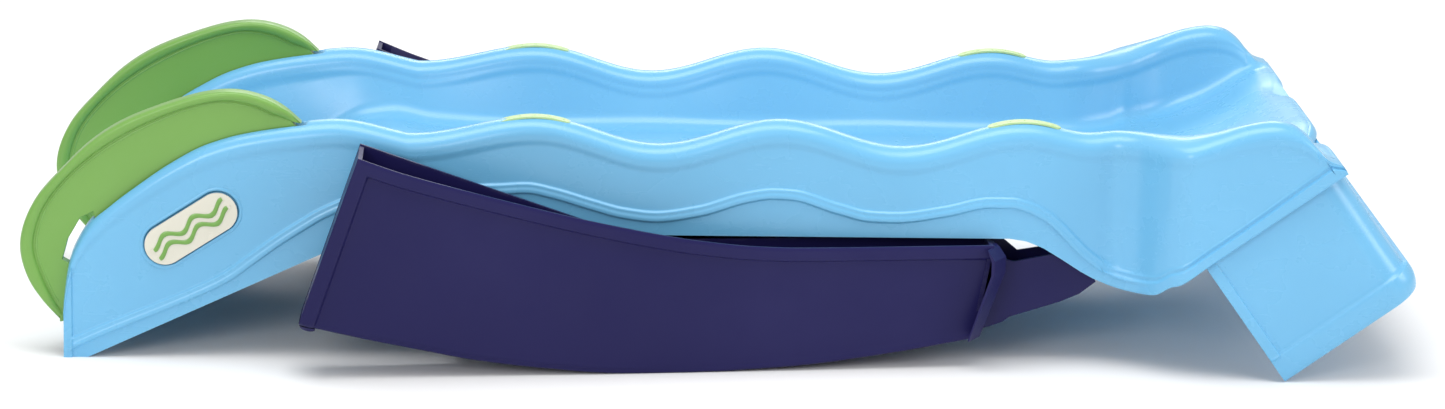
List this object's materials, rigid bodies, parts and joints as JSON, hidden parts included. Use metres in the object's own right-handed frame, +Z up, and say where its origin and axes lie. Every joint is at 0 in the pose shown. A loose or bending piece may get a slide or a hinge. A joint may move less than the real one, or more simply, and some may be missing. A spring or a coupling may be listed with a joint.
{
  "type": "wave slide",
  "caption": "Toddler's wave slide, stowed flat: wavy-railed water chute with flared exit and riser, nested in its upturned ladder; handrails plug into the top.",
  "frame": {"origin": "on the ground, under the centre of the overall box", "axes": "+X along the chute towards the exit, +Y across the slide, +Z up; the slide lies stowed, as it is kept when not in use"},
  "size_m": [1.6418, 0.65, 0.3184],
  "materials": {
    "blue_hdpe": "satin moulded",
    "navy_hdpe": "satin moulded",
    "green_hdpe": "satin moulded",
    "lime_bar": "satin moulded",
    "badge_ivory": "glossy",
    "tube_vinyl": "soft vinyl",
    "fitting_grey": "satin moulded",
    "screw_steel": "zinc plated"
  },
  "bodies": {
    "ladder": {"ladder": "navy_hdpe"},
    "slide": {"chute": "blue_hdpe", "exit_riser": "blue_hdpe", "handrail_near": "green_hdpe", "handrail_far": "green_hdpe", "spray_bar_near_upper": "lime_bar", "spray_bar_near_lower": "lime_bar", "spray_bar_far_upper": "lime_bar", "spray_bar_far_lower": "lime_bar", "badge_near": "badge_ivory", "badge_far": "badge_ivory", "feed_tube_near": "tube_vinyl", "feed_tube_far": "tube_vinyl", "link_tube_near": "tube_vinyl", "link_tube_far": "tube_vinyl", "bar_plugs": "fitting_grey", "inlet_tee": "fitting_grey", "hose_washer": "tube_vinyl", "tube_saddles": "fitting_grey", "saddle_screws": "screw_steel"},
    "nut": {"swivel_nut": "fitting_grey"}
  },
  "joints": [
    {"name": "lift_off", "type": "slide", "parent": "ladder", "child": "slide", "axis": [0, 0, 1], "range_m": [0, 0.35]},
    {"name": "nut_spin", "type": "hinge", "parent": "slide", "child": "nut", "pos_m": [-0.48, 0, 0.12], "axis": [0, 0, 1], "continuous": true}
  ]
}
